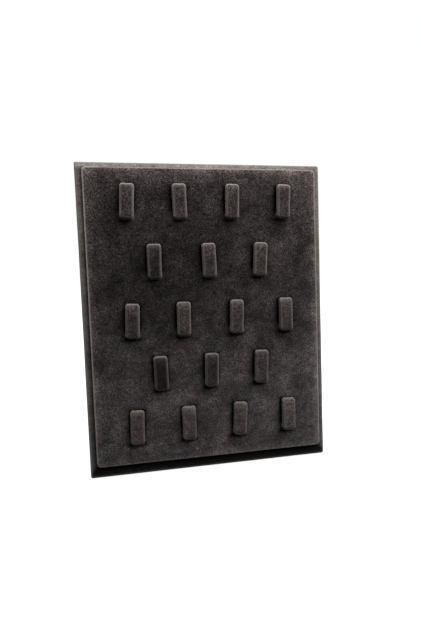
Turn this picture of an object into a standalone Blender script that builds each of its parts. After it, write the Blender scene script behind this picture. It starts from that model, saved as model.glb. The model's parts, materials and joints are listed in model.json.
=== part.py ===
"""Ring display stand: an easel board with a padded panel that carries rows of sprung ring clips.

Metres, +Z up, the front toward -Y, the origin on the ground under the middle of the stand.
The board's frame leans back. In it X runs across, Z up along the board, and Y through it,
from zero on the board's front face to its back. The strut has a like frame on its hinge's axis.
"""

import math

import bmesh
import bpy
from mathutils import Matrix, Vector

# Fit
SEAT_GAP = 0.0003
PIN_CLEARANCE = 0.0002
OVERRUN = 0.002
WELD = 0.000003

# Suede skin, the same on every covered piece
SKIN = 0.0006

# Board
BOARD_WIDTH = 0.160
BOARD_HEIGHT = 0.200
BOARD_CORE = 0.0045
BOARD_ROUND = 0.001
BOARD_FLAT = 0.0003
BOARD_TURN_IN = 0.014
LEAN = math.radians(11)
BACK_LINER = 0.0008
BACK_LINER_INSET = 0.003

# Padded panel
PAD_INSET_SIDE = 0.0044
PAD_INSET_TOP = 0.0036
PAD_INSET_BOTTOM = 0.0078
PAD_CARD = 0.0014
PAD_FOAM = 0.0012
PAD_CORNER = 0.002
PAD_ROUND = 0.0014
PAD_TURN_IN = 0.012

# Clips: the outer clips' distance from the panel's edges, and the rows' places as shares of the way down
COLUMN_MARGIN = 0.0253
ROW_MARGIN_TOP = 0.022
ROW_MARGIN_BOTTOM = 0.0256
ROW_SHARES = (0, 0.262, 0.522, 0.762, 1)

# Each clip is set by hand, row by row from the top: its lean in the panel's plane in degrees,
# and how far it sits to the right of its place as a share of the clips' pitch
CLIP_TILTS = (
    (3, -1, 2, 2),
    (0, -1, 3),
    (2, 1, 2, 0),
    (-1, 1.5, 2),
    (1, 0, 3, 0.5),
)
CLIP_SHIFT_SHARES = (
    (0.013, 0, -0.005, 0.018),
    (-0.017, 0.023, 0.015),
    (0.024, -0.012, 0.016, 0.024),
    (0.024, -0.01, -0.016),
    (0.028, 0.02, 0.017, 0.03),
)
CLIP_WIDTH = 0.0092
CLIP_HEIGHT = 0.0223
CLIP_THICKNESS = 0.0038
CLIP_CORNER = 0.0014
CLIP_ROUND = 0.0011
CLIP_STAND_OFF = 0.0018
CLIP_TAIL = 0.0022
CLIP_END_WALL = 0.0015
CLIP_HEEL_WIDTH = 0.0078
CLIP_HEEL_HEIGHT = 0.003
CLIP_NECK_SWING = 0.0006

# Spring steel of the clips
SPRING_WIDTH = 0.0055
SPRING_THICKNESS = 0.0004
SPRING_STRIP = 0.006
SPRING_STRIP_END = 0.002

# Hinge
HINGE_DROP = 0.050
HINGE_WIDTH = 0.030
HINGE_LEAF = 0.016
HINGE_LEAF_CORNER = 0.0026
HINGE_SHEET = 0.0006
HINGE_SET_IN = 0.0002
HINGE_BARREL_RADIUS = 0.0015
HINGE_PIN_RADIUS = 0.0008
HINGE_PIN_OVERHANG = 0.0006
HINGE_MIDDLE_KNUCKLE = 0.010
HINGE_RIVET_SPACING = 0.018
HINGE_RIVET_DROP = 0.010

# Strut
STRUT_ANGLE = math.radians(10)
STRUT_CORE = 0.002
STRUT_ROUND = 0.0008
STRUT_TOP_WIDTH = 0.044
STRUT_FOOT_WIDTH = 0.070
STRUT_TOP_DROP = 0.001
STRUT_TURN_IN = 0.010
STRUT_LINER = 0.0005
STRUT_LINER_INSET = 0.0025

# Rivets
RIVET_HEAD_RADIUS = 0.002
RIVET_HEAD_HEIGHT = 0.0006
RIVET_SHANK_RADIUS = 0.001
RIVET_BITE = 0.0025
RIVET_STEPS = 16

# Ribbon
RIBBON_WIDTH = 0.008
RIBBON_THICKNESS = 0.0004
RIBBON_BOARD_DROP = 0.094
RIBBON_STRUT_DROP = 0.098
RIBBON_FLAP = 0.010
RIBBON_RIVET_FROM_BEND = 0.006

# Worked out from the sizes above
BOARD_DEPTH = BOARD_CORE + (SEAT_GAP + SKIN) * 2
BOARD_BACK = BOARD_DEPTH + SEAT_GAP + BACK_LINER
PAD_CARD_BACK = -(SEAT_GAP + SKIN + SEAT_GAP)
PAD_CARD_FRONT = PAD_CARD_BACK - PAD_CARD
PAD_FOAM_BACK = PAD_CARD_FRONT - SEAT_GAP
PAD_FOAM_FRONT = PAD_FOAM_BACK - PAD_FOAM
PAD_FRONT = PAD_FOAM_FRONT - SEAT_GAP - SKIN
PAD_WIDTH = BOARD_WIDTH - PAD_INSET_SIDE * 2
PAD_TOP = BOARD_HEIGHT - PAD_INSET_TOP
PAD_BOTTOM = PAD_INSET_BOTTOM
CLIP_MIDDLE = PAD_FRONT - CLIP_STAND_OFF - CLIP_THICKNESS / 2
CLIP_ROOT_DROP = CLIP_HEIGHT / 2 - CLIP_TAIL
HINGE_Y = BOARD_BACK + SEAT_GAP + HINGE_BARREL_RADIUS
HINGE_HEIGHT = BOARD_HEIGHT - HINGE_DROP
STRUT_LINER_FRONT = HINGE_BARREL_RADIUS + SEAT_GAP
STRUT_FRONT = STRUT_LINER_FRONT + STRUT_LINER + SEAT_GAP
STRUT_BACK = STRUT_FRONT + STRUT_CORE + (SEAT_GAP + SKIN) * 2
OPEN_ANGLE = LEAN + STRUT_ANGLE
HINGE_RIVET_PLACES = {"left": -HINGE_RIVET_SPACING / 2, "right": HINGE_RIVET_SPACING / 2}
LEAF_OUTSIDE = HINGE_BARREL_RADIUS - HINGE_SET_IN
LEAF_INSIDE = LEAF_OUTSIDE - HINGE_SHEET

for old in list(bpy.data.objects):
    bpy.data.objects.remove(old, do_unlink=True)


def new_collection(name):
    """A collection in the scene."""
    made = bpy.data.collections.new(name)
    bpy.context.scene.collection.children.link(made)
    return made


def new_empty(name, parent=None):
    """An empty that carries other objects."""
    made = bpy.data.objects.new(name, None)
    made.parent = parent
    parts.objects.link(made)
    return made


def new_material(name, colour, roughness, metallic=0):
    """A Principled material."""
    made = bpy.data.materials.new(name)
    made.use_nodes = True
    shader = made.node_tree.nodes["Principled BSDF"]
    shader.inputs["Base Color"].default_value = (*colour, 1)
    shader.inputs["Roughness"].default_value = roughness
    shader.inputs["Metallic"].default_value = metallic
    return made


def new_piece(name, mesh, parent, material):
    """An object of the stand."""
    made = bpy.data.objects.new(name, mesh)
    made.parent = parent
    if not mesh.materials:
        mesh.materials.append(material)
    parts.objects.link(made)
    return made


def new_cutter(name, mesh, parent):
    """A helper that is subtracted from pieces and isn't one itself."""
    made = bpy.data.objects.new(name, mesh)
    made.parent = parent
    made.hide_render = True
    made.display_type = "WIRE"
    cutters.objects.link(made)
    return made


def cut(piece, cutter):
    """Subtracts a cutter from a piece."""
    modifier = piece.modifiers.new(cutter.name, "BOOLEAN")
    modifier.operation = "DIFFERENCE"
    modifier.object = cutter


def join(piece, other):
    """Adds a helper's shape to a piece."""
    modifier = piece.modifiers.new(other.name, "BOOLEAN")
    modifier.operation = "UNION"
    modifier.object = other


def mesh_from(name, bm, smooth=False):
    """The mesh of a bmesh, which is freed."""
    mesh = bpy.data.meshes.new(name)
    bmesh.ops.recalc_face_normals(bm, faces=bm.faces)
    bm.to_mesh(mesh)
    bm.free()
    if smooth:
        mesh.shade_smooth()
        mesh.set_sharp_from_angle(angle=math.radians(40))
    return mesh


def evaluated_mesh(piece):
    """The mesh of an object with its modifiers, taken in the object's place."""
    bpy.context.view_layer.update()
    graph = bpy.context.evaluated_depsgraph_get()
    mesh = bpy.data.meshes.new_from_object(piece.evaluated_get(graph))
    bpy.data.objects.remove(piece, do_unlink=True)
    return mesh


def add_box(bm, low, high, place=Matrix()):
    """Adds a box between two corners, moved by a matrix."""
    low = Vector(low)
    high = Vector(high)
    made = bmesh.ops.create_cube(bm, size=1)["verts"]
    size = Matrix.Diagonal((*(high - low), 1))
    bmesh.ops.transform(bm, matrix=place @ Matrix.Translation((low + high) / 2) @ size, verts=made)
    return made


def add_rod(bm, radius, low, high, x=0, z=0, steps=RIVET_STEPS):
    """Adds a cylinder along Y between two depths."""
    turn = Matrix.Rotation(math.radians(90), 4, "X")
    place = Matrix.Translation((x, (low + high) / 2, z)) @ turn
    bmesh.ops.create_cone(
        bm, cap_ends=True, segments=steps, radius1=radius, radius2=radius, depth=high - low, matrix=place
    )


def add_barrel(bm, radius, low, high, steps=RIVET_STEPS):
    """Adds a cylinder along X, on the hinge's axis, between two places across."""
    turn = Matrix.Rotation(math.radians(90), 4, "Y")
    place = Matrix.Translation(((low + high) / 2, 0, 0)) @ turn
    bmesh.ops.create_cone(
        bm, cap_ends=True, segments=steps, radius1=radius, radius2=radius, depth=high - low, matrix=place
    )


def round_edges(bm, edges, radius, segments=2):
    """Rounds the given edges."""
    bmesh.ops.bevel(
        bm, geom=edges, offset=radius, segments=segments, profile=0.5, affect="EDGES", clamp_overlap=True
    )


def slab(low, high, corner=0, front=0, back=0):
    """A bmesh box with rounded corners in its plane and rounded edges round its front and back faces."""
    bm = bmesh.new()
    add_box(bm, low, high)
    if corner:
        through = [e for e in bm.edges if abs(e.verts[0].co.y - e.verts[1].co.y) > (high[1] - low[1]) / 2]
        round_edges(bm, through, corner)
    for radius, side in ((front, -1), (back, 1)):
        if not radius:
            continue
        bm.normal_update()
        face = max(bm.faces, key=lambda f: f.normal.y * side)
        round_edges(bm, list(face.edges), radius)
    return bm


def turned_mesh(name, profile):
    """The mesh of a profile of radius and height, turned about Z."""
    bm = bmesh.new()
    points = [bm.verts.new((radius, 0, height)) for radius, height in profile]
    for start, end in zip(points, points[1:]):
        bm.edges.new((start, end))
    mesh = bpy.data.meshes.new(name)
    bm.to_mesh(mesh)
    bm.free()
    made = bpy.data.objects.new(name, mesh)
    parts.objects.link(made)
    screw = made.modifiers.new("turn", "SCREW")
    screw.steps = RIVET_STEPS
    screw.render_steps = RIVET_STEPS
    screw.use_merge_vertices = True
    screw.merge_threshold = WELD
    return evaluated_mesh(made)


def rivet_mesh(name, shank, two_heads=False):
    """A rivet along Z: its domed head above zero, its shank below, and a second head on the far end."""
    dome = RIVET_HEAD_RADIUS * math.cos(math.radians(45))
    rise = RIVET_HEAD_HEIGHT * math.sin(math.radians(45))
    profile = [(0, RIVET_HEAD_HEIGHT), (dome, rise), (RIVET_HEAD_RADIUS, 0), (RIVET_SHANK_RADIUS, 0)]
    profile.append((RIVET_SHANK_RADIUS, -shank))
    if two_heads:
        profile.append((RIVET_HEAD_RADIUS, -shank))
        profile.append((dome, -shank - rise))
        profile.append((0, -shank - RIVET_HEAD_HEIGHT))
    else:
        profile.append((0, -shank))
    return turned_mesh(name, profile)


def place_rivet(name, mesh, parent, x, depth, drop, side=1):
    """A rivet whose head sits at a depth and faces +Y, or -Y with a side of -1."""
    piece = new_piece(name, mesh, parent, zinc_steel)
    turn = Matrix.Rotation(math.radians(-90) * side, 4, "X")
    piece.matrix_local = Matrix.Translation((x, depth, drop)) @ turn


def rivet_holes(name, parent, low, high, drop, places=(0,)):
    """A cutter for the shanks of the rivets at some places across."""
    bm = bmesh.new()
    for x in places:
        add_rod(bm, RIVET_SHANK_RADIUS + SEAT_GAP, low, high, x, drop)
    return new_cutter(name, mesh_from(name, bm), parent)


def row_places():
    """The clips' roots in the board's frame, a list of places for each row from the top."""
    top = PAD_TOP - ROW_MARGIN_TOP
    bottom = PAD_BOTTOM + ROW_MARGIN_BOTTOM
    longest = max(len(tilts) for tilts in CLIP_TILTS)
    pitch = (PAD_WIDTH - COLUMN_MARGIN * 2) / (longest - 1)
    rows = []
    for tilts, shifts, share in zip(CLIP_TILTS, CLIP_SHIFT_SHARES, ROW_SHARES):
        height = top + (bottom - top) * share - CLIP_ROOT_DROP
        places = []
        for column, (tilt, shift) in enumerate(zip(tilts, shifts)):
            across = pitch * (column - (len(tilts) - 1) / 2 + shift)
            place = Matrix.Translation((across, CLIP_MIDDLE, height))
            places.append(place @ Matrix.Rotation(math.radians(tilt), 4, "Y"))
        rows.append(places)
    return rows


def necks(places, width, height, back, front):
    """A mesh of one flat neck at each clip's root, between two depths of the board's frame."""
    bm = bmesh.new()
    for place in places:
        low = (-width / 2, front - CLIP_MIDDLE, -height / 2)
        high = (width / 2, back - CLIP_MIDDLE, height / 2)
        add_box(bm, low, high, place)
    return mesh_from("necks", bm)


def wrapped_shell(name, low, high, skin_corner, front, back, window, parent, material):
    """A skin round a slab, turned over onto its back and open there between the turned-over edges."""
    low = Vector(low)
    high = Vector(high)
    thickness = Vector((SKIN, SKIN, SKIN))
    outside = slab(low, high, skin_corner, front, back)
    shell = new_piece(name, mesh_from(name, outside, True), parent, material)
    inside = slab(low + thickness, high - thickness, max(skin_corner - SKIN, 0), max(front - SKIN, 0))
    cut(shell, new_cutter(f"{name}_inside", mesh_from(f"{name}_inside", inside), parent))
    opening = bmesh.new()
    middle = (low.y + high.y) / 2
    add_box(
        opening,
        (low.x + window, middle, low.z + window),
        (high.x - window, high.y + OVERRUN, high.z - window),
    )
    cut(shell, new_cutter(f"{name}_window", mesh_from(f"{name}_window", opening), parent))
    return shell


def build_board():
    """The board's core, its skin and the panel on its back."""
    width = BOARD_WIDTH / 2
    wrap = wrapped_shell(
        "board_wrap",
        (-width, 0, 0),
        (width, BOARD_DEPTH, BOARD_HEIGHT),
        BOARD_ROUND,
        BOARD_ROUND,
        BOARD_ROUND,
        BOARD_TURN_IN,
        board,
        suede,
    )
    ground = bmesh.new()
    reach = BOARD_WIDTH
    add_box(ground, (-reach, -reach, -reach), (reach, reach, 0))
    cut(wrap, new_cutter("ground", mesh_from("ground", ground), stand))

    margin = SKIN + SEAT_GAP
    core = new_piece(
        "base_board",
        mesh_from(
            "base_board",
            slab(
                (-width + margin, margin, margin),
                (width - margin, margin + BOARD_CORE, BOARD_HEIGHT - margin),
            ),
        ),
        board,
        fibreboard,
    )
    inset = BACK_LINER_INSET
    liner = new_piece(
        "back_liner",
        mesh_from(
            "back_liner",
            slab(
                (-width + inset, BOARD_DEPTH + SEAT_GAP, inset),
                (width - inset, BOARD_BACK, BOARD_HEIGHT - inset),
                PAD_CORNER,
            ),
            True,
        ),
        board,
        suede,
    )
    hinge_holes = rivet_holes(
        "board_hinge_holes",
        board,
        BOARD_BACK - RIVET_BITE - SEAT_GAP * 2,
        BOARD_BACK + OVERRUN,
        HINGE_HEIGHT + HINGE_RIVET_DROP,
        HINGE_RIVET_PLACES.values(),
    )
    ribbon_hole = rivet_holes(
        "board_ribbon_hole",
        board,
        BOARD_BACK - RIVET_BITE - SEAT_GAP * 2,
        BOARD_BACK + OVERRUN,
        HINGE_HEIGHT - RIBBON_BOARD_DROP - RIBBON_RIVET_FROM_BEND,
    )
    for piece in (wrap, core, liner):
        cut(piece, hinge_holes)
        cut(piece, ribbon_hole)


def build_pad():
    """The raised panel: card, foam and suede cover, each with a slot for every clip."""
    width = PAD_WIDTH / 2
    cover = wrapped_shell(
        "pad_cover",
        (-width, PAD_FRONT, PAD_BOTTOM),
        (width, -SEAT_GAP, PAD_TOP),
        PAD_CORNER,
        PAD_ROUND,
        0,
        PAD_TURN_IN,
        board,
        suede,
    )
    margin = SKIN + SEAT_GAP
    corner = PAD_CORNER - margin
    foam = new_piece(
        "pad_foam",
        mesh_from(
            "pad_foam",
            slab(
                (-width + margin, PAD_FOAM_FRONT, PAD_BOTTOM + margin),
                (width - margin, PAD_FOAM_BACK, PAD_TOP - margin),
                corner,
                max(PAD_ROUND - margin, 0),
            ),
            True,
        ),
        board,
        foam_rubber,
    )
    card = new_piece(
        "pad_card",
        mesh_from(
            "pad_card",
            slab(
                (-width + margin, PAD_CARD_FRONT, PAD_BOTTOM + margin),
                (width - margin, PAD_CARD_BACK, PAD_TOP - margin),
                corner,
            ),
            True,
        ),
        board,
        greyboard,
    )
    slots = necks(
        [place for places in row_places() for place in places],
        SPRING_WIDTH + SEAT_GAP * 2,
        SPRING_THICKNESS + SEAT_GAP * 2,
        PAD_CARD_BACK + OVERRUN,
        PAD_FRONT - OVERRUN,
    )
    slot_cutter = new_cutter("neck_slots", slots, board)
    for piece in (cover, foam, card):
        cut(piece, slot_cutter)


def build_spring_strip(row, places):
    """The steel strip behind the card that joins a row's springs, with a neck for each clip."""
    back = PAD_CARD_BACK + SEAT_GAP + SPRING_THICKNESS
    height = places[0].translation.z
    end = SPRING_WIDTH / 2 + SPRING_STRIP_END
    strip = bmesh.new()
    add_box(
        strip,
        (places[0].translation.x - end, PAD_CARD_BACK + SEAT_GAP, height - SPRING_STRIP / 2),
        (places[-1].translation.x + end, back, height + SPRING_STRIP / 2),
    )
    name = f"spring_strip_{row}"
    piece = new_piece(name, mesh_from(name, strip), board, spring_steel)
    front = CLIP_MIDDLE + SPRING_THICKNESS / 2 + SEAT_GAP
    middle = back - SPRING_THICKNESS / 2
    row_necks = necks(places, SPRING_WIDTH, SPRING_THICKNESS, middle, front)
    join(piece, new_cutter(f"{name}_necks", row_necks, board))


def sleeve_mesh():
    """A clip's padded sleeve: a rounded tongue and its heel, with room for the blade and its neck."""
    width = CLIP_WIDTH / 2
    depth = CLIP_THICKNESS / 2
    top = CLIP_HEIGHT - CLIP_TAIL
    body = slab((-width, -depth, -CLIP_TAIL), (width, depth, top), CLIP_CORNER, CLIP_ROUND, CLIP_ROUND)
    sleeve = new_piece("clip_sleeve", mesh_from("clip_sleeve", body, True), None, suede)
    heel = bmesh.new()
    reach = depth + CLIP_STAND_OFF - SEAT_GAP
    low = (-CLIP_HEEL_WIDTH / 2, 0, -CLIP_HEEL_HEIGHT / 2)
    add_box(heel, low, (CLIP_HEEL_WIDTH / 2, reach, CLIP_HEEL_HEIGHT / 2))
    heel_block = new_cutter("clip_heel", mesh_from("clip_heel", heel), None)
    join(sleeve, heel_block)
    room = bmesh.new()
    pocket = SPRING_THICKNESS / 2 + SEAT_GAP
    side = SPRING_WIDTH / 2 + SEAT_GAP
    add_box(room, (-side, -pocket, -CLIP_TAIL - OVERRUN), (side, pocket, top - CLIP_END_WALL))
    blade_pocket = new_cutter("clip_pocket", mesh_from("clip_pocket", room), None)
    cut(sleeve, blade_pocket)
    slot = bmesh.new()
    swing = pocket + CLIP_NECK_SWING
    add_box(slot, (-side, 0, -swing), (side, reach + OVERRUN, swing))
    neck_slot = new_cutter("clip_neck_slot", mesh_from("clip_neck_slot", slot), None)
    cut(sleeve, neck_slot)
    mesh = evaluated_mesh(sleeve)
    for helper in (heel_block, blade_pocket, neck_slot):
        bpy.data.objects.remove(helper, do_unlink=True)
    return mesh


def blade_mesh():
    """The flat spring inside a clip's sleeve."""
    half = SPRING_THICKNESS / 2
    top = CLIP_HEIGHT - CLIP_TAIL - CLIP_END_WALL - SEAT_GAP
    bottom = -CLIP_TAIL / 2
    bm = bmesh.new()
    add_box(bm, (-SPRING_WIDTH / 2, -half, bottom), (SPRING_WIDTH / 2, half, top))
    return mesh_from("clip_blade", bm)


def build_clips():
    """The strip of each row, and a sleeve and a blade for every clip, with their origins on its axis."""
    sleeve = sleeve_mesh()
    blade = blade_mesh()
    for row, places in enumerate(row_places(), 1):
        build_spring_strip(row, places)
        for column, place in enumerate(places, 1):
            for kind, mesh, material in (("sleeve", sleeve, suede), ("blade", blade, spring_steel)):
                piece = new_piece(f"clip_{kind}_{row}_{column}", mesh, board, material)
                piece.matrix_local = place


def leaf(name, side, parent, knuckles, notches):
    """A hinge leaf: a plate tangent to the barrel, notched for the other leaf's knuckles, with its own."""
    radius = HINGE_BARREL_RADIUS
    near = -LEAF_OUTSIDE if side > 0 else LEAF_INSIDE
    far = HINGE_LEAF * side
    half = HINGE_WIDTH / 2
    plate = bmesh.new()
    add_box(plate, (-half, near, min(0, far)), (half, near + HINGE_SHEET, max(0, far)))
    corners = [e for e in plate.edges if all(abs(v.co.z - far) < HINGE_SHEET for v in e.verts)]
    corners = [e for e in corners if abs(e.verts[0].co.x - e.verts[1].co.x) < HINGE_SHEET]
    round_edges(plate, corners, HINGE_LEAF_CORNER, 3)
    piece = new_piece(name, mesh_from(name, plate), parent, zinc_steel)
    room = bmesh.new()
    clear = radius + SEAT_GAP
    for low, high in notches:
        add_box(room, (low, -radius - OVERRUN, -clear), (high, radius + OVERRUN, clear))
    cut(piece, new_cutter(f"{name}_notch", mesh_from(f"{name}_notch", room), parent))
    tube = bmesh.new()
    for low, high in knuckles:
        add_barrel(tube, radius, low, high)
    join(piece, new_cutter(f"{name}_knuckle", mesh_from(f"{name}_knuckle", tube), parent))
    bore = bmesh.new()
    add_barrel(bore, HINGE_PIN_RADIUS + PIN_CLEARANCE, -half - OVERRUN, half + OVERRUN)
    cut(piece, new_cutter(f"{name}_bore", mesh_from(f"{name}_bore", bore), parent))
    holes = rivet_holes(
        f"{name}_holes",
        parent,
        near - OVERRUN,
        near + HINGE_SHEET + OVERRUN,
        HINGE_RIVET_DROP * side,
        HINGE_RIVET_PLACES.values(),
    )
    cut(piece, holes)


def build_hinge():
    """The two leaves, the pin through their knuckles, and the rivets that hold them."""
    half = HINGE_WIDTH / 2
    middle = HINGE_MIDDLE_KNUCKLE / 2
    outer = middle + SEAT_GAP
    edge = half + OVERRUN
    leaf("hinge_leaf_board", 1, hinge, [(-half, -outer), (outer, half)], [(-outer, outer)])
    leaf("hinge_leaf_strut", -1, strut, [(-middle, middle)], [(-edge, -middle), (middle, edge)])
    pin = bmesh.new()
    add_barrel(pin, HINGE_PIN_RADIUS, -half - HINGE_PIN_OVERHANG, half + HINGE_PIN_OVERHANG)
    new_piece("hinge_pin", mesh_from("hinge_pin", pin, True), hinge, spring_steel)

    board_face = SEAT_GAP - LEAF_INSIDE
    board_rivet = rivet_mesh("hinge_board_rivet", board_face + HINGE_Y - BOARD_BACK + RIVET_BITE)
    strut_face = STRUT_BACK + SEAT_GAP
    strut_shank = strut_face - LEAF_INSIDE + SEAT_GAP
    strut_rivet = rivet_mesh("hinge_strut_rivet", strut_shank, True)
    for side, x in HINGE_RIVET_PLACES.items():
        place_rivet(f"hinge_rivet_board_{side}", board_rivet, hinge, x, board_face, HINGE_RIVET_DROP)
        place_rivet(f"hinge_rivet_strut_{side}", strut_rivet, strut, x, strut_face, -HINGE_RIVET_DROP)


def strut_width(height):
    """The strut's width at a height of its frame, between its top and its foot."""
    foot = sole_height(STRUT_FRONT, 0)
    share = (height + STRUT_TOP_DROP) / (foot + STRUT_TOP_DROP)
    return STRUT_TOP_WIDTH + (STRUT_FOOT_WIDTH - STRUT_TOP_WIDTH) * share


def sole_height(depth, above_ground):
    """Where a level plane above the ground cuts the strut's frame, at a depth of that frame."""
    axis = board_lift() + HINGE_HEIGHT * math.cos(LEAN) - HINGE_Y * math.sin(LEAN)
    return (above_ground - axis - depth * math.sin(STRUT_ANGLE)) / math.cos(STRUT_ANGLE)


def board_lift():
    """How far the board's frame stands above the ground, so that its rounded rear edge has a flat there."""
    round_middle = BOARD_ROUND * math.cos(LEAN) - (BOARD_DEPTH - BOARD_ROUND) * math.sin(LEAN)
    return BOARD_ROUND - round_middle - BOARD_FLAT


def strut_slab(name, front, back, inset, top_inset, above_ground, radius=0, smooth=True):
    """A tapered slab of the strut between two depths, inset at its sides, its lower end level."""
    bm = bmesh.new()
    add_box(bm, (-1, front, -1), (1, back, 1))
    for vert in bm.verts:
        top = vert.co.z > 0
        vert.co.z = -STRUT_TOP_DROP - top_inset if top else sole_height(vert.co.y, above_ground)
        vert.co.x *= strut_width(vert.co.z) / 2 - inset
    if radius:
        lowest = sole_height(front, above_ground) / 2
        edges = [e for e in bm.edges if max(v.co.z for v in e.verts) > lowest]
        round_edges(bm, edges, radius)
    return mesh_from(name, bm, smooth)


def build_strut():
    """The strut's core, its skin with the turned-over edges toward the board, and its lining."""
    wrap = new_piece(
        "strut_wrap", strut_slab("strut_wrap", STRUT_FRONT, STRUT_BACK, 0, 0, 0, STRUT_ROUND), strut, suede
    )
    inside = strut_slab("strut_inside", STRUT_FRONT + SKIN, STRUT_BACK - SKIN, SKIN, SKIN, SKIN)
    cut(wrap, new_cutter("strut_inside", inside, strut))
    window = strut_slab(
        "strut_window",
        STRUT_FRONT - OVERRUN,
        (STRUT_FRONT + STRUT_BACK) / 2,
        STRUT_TURN_IN,
        STRUT_TURN_IN,
        STRUT_TURN_IN,
    )
    cut(wrap, new_cutter("strut_window", window, strut))
    margin = SKIN + SEAT_GAP
    core = new_piece(
        "strut_core",
        strut_slab("strut_core", STRUT_FRONT + margin, STRUT_BACK - margin, margin, margin, margin),
        strut,
        greyboard,
    )
    inset = STRUT_LINER_INSET
    liner = new_piece(
        "strut_liner",
        strut_slab("strut_liner", STRUT_LINER_FRONT, STRUT_LINER_FRONT + STRUT_LINER, inset, inset, inset),
        strut,
        suede,
    )
    hinge_holes = rivet_holes(
        "strut_hinge_holes", strut, 0, STRUT_BACK + OVERRUN, -HINGE_RIVET_DROP, HINGE_RIVET_PLACES.values()
    )
    ribbon_hole = rivet_holes(
        "strut_ribbon_hole",
        strut,
        0,
        STRUT_LINER_FRONT + RIVET_BITE + SEAT_GAP * 2,
        -RIBBON_STRUT_DROP - RIBBON_RIVET_FROM_BEND,
    )
    for piece in (wrap, core, liner):
        cut(piece, hinge_holes)
        cut(piece, ribbon_hole)


def build_ribbon():
    """The stay ribbon, straight between its bends, with an end flap along the board and along the strut."""
    off = SEAT_GAP + RIBBON_THICKNESS / 2
    opened = Matrix.Rotation(OPEN_ANGLE, 4, "X")
    board_bend = Vector((0, BOARD_BACK + off - HINGE_Y, -RIBBON_BOARD_DROP))
    strut_bend = opened @ Vector((0, STRUT_LINER_FRONT - off, -RIBBON_STRUT_DROP))
    along_strut = opened @ Vector((0, 0, -RIBBON_FLAP))
    route = [board_bend - Vector((0, 0, RIBBON_FLAP)), board_bend, strut_bend, strut_bend + along_strut]
    curve = bpy.data.curves.new("ribbon_strip", "CURVE")
    curve.dimensions = "2D"
    curve.fill_mode = "NONE"
    curve.extrude = RIBBON_WIDTH / 2
    spline = curve.splines.new("POLY")
    spline.points.add(len(route) - 1)
    for point, place in zip(spline.points, route):
        point.co = (place.y, place.z, 0, 1)
    strip = bpy.data.objects.new("ribbon_strip", curve)
    parts.objects.link(strip)
    mesh = evaluated_mesh(strip)
    bm = bmesh.new()
    bm.from_mesh(mesh)
    bmesh.ops.transform(bm, matrix=ACROSS, verts=bm.verts)
    ribbon = new_piece("stay_ribbon", mesh_from("stay_ribbon", bm), hinge, satin)
    solidify = ribbon.modifiers.new("thickness", "SOLIDIFY")
    solidify.thickness = RIBBON_THICKNESS
    solidify.offset = 0
    solidify.use_even_offset = True

    board_drop = -RIBBON_BOARD_DROP - RIBBON_RIVET_FROM_BEND
    strut_drop = -RIBBON_STRUT_DROP - RIBBON_RIVET_FROM_BEND
    reach = RIVET_HEAD_RADIUS
    back = BOARD_BACK - HINGE_Y
    cut(ribbon, rivet_holes("ribbon_board_hole", hinge, back - reach, back + reach, board_drop))
    front = STRUT_LINER_FRONT
    cut(ribbon, rivet_holes("ribbon_strut_hole", strut, front - reach, front + reach, strut_drop))

    stack = SEAT_GAP * 2 + RIBBON_THICKNESS
    rivet = rivet_mesh("ribbon_rivet", stack + RIVET_BITE)
    place_rivet("ribbon_rivet_board", rivet, hinge, 0, back + stack, board_drop)
    place_rivet("ribbon_rivet_strut", rivet, strut, 0, front - stack, strut_drop, -1)


def centre_on_origin():
    """Moves the stand level with the ground so that the middle of its box stands over the origin."""
    bpy.context.view_layer.update()
    graph = bpy.context.evaluated_depsgraph_get()
    corners = []
    for piece in parts.objects:
        if piece.type != "MESH":
            continue
        mesh = piece.evaluated_get(graph).to_mesh()
        corners += [piece.matrix_world @ vert.co for vert in mesh.vertices]
    middle = [(min(c[axis] for c in corners) + max(c[axis] for c in corners)) / 2 for axis in (0, 1)]
    stand.location = (-middle[0], -middle[1], 0)
    bpy.context.view_layer.update()


# A profile's first two axes laid along Y and Z, and its third across
ACROSS = Matrix(((0, 0, 1, 0), (1, 0, 0, 0), (0, 1, 0, 0), (0, 0, 0, 1)))

parts = new_collection("ring_display_stand")
cutters = new_collection("cutters")

suede = new_material("suede", (0.045, 0.038, 0.037), 0.95)
fibreboard = new_material("fibreboard", (0.42, 0.29, 0.18), 0.85)
greyboard = new_material("greyboard", (0.36, 0.34, 0.31), 0.9)
foam_rubber = new_material("foam", (0.12, 0.12, 0.12), 0.95)
spring_steel = new_material("spring_steel", (0.55, 0.56, 0.58), 0.3, 1)
zinc_steel = new_material("zinc_steel", (0.62, 0.62, 0.6), 0.35, 1)
satin = new_material("satin", (0.03, 0.028, 0.028), 0.45)

stand = new_empty("stand")
board = new_empty("board_frame", stand)
board.location = (0, 0, board_lift())
board.rotation_euler = (-LEAN, 0, 0)
hinge = new_empty("hinge_axis", board)
hinge.location = (0, HINGE_Y, HINGE_HEIGHT)
strut = new_empty("strut_frame", hinge)
strut.rotation_euler = (OPEN_ANGLE, 0, 0)

build_board()
build_pad()
build_clips()
build_hinge()
build_strut()
build_ribbon()
centre_on_origin()
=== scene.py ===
"""Looks of the ring display stand: suede over board, foam and steel springs, on an easel strut.

Metres. Every soft piece is built along the board's, the strut's or its own clip's axes, inside the
extents of the node that it stands for. Rigid nodes keep their shape and get their finish here.
"""

import json
import math

import bmesh
import bpy
from mathutils import Matrix, Vector, noise


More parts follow.
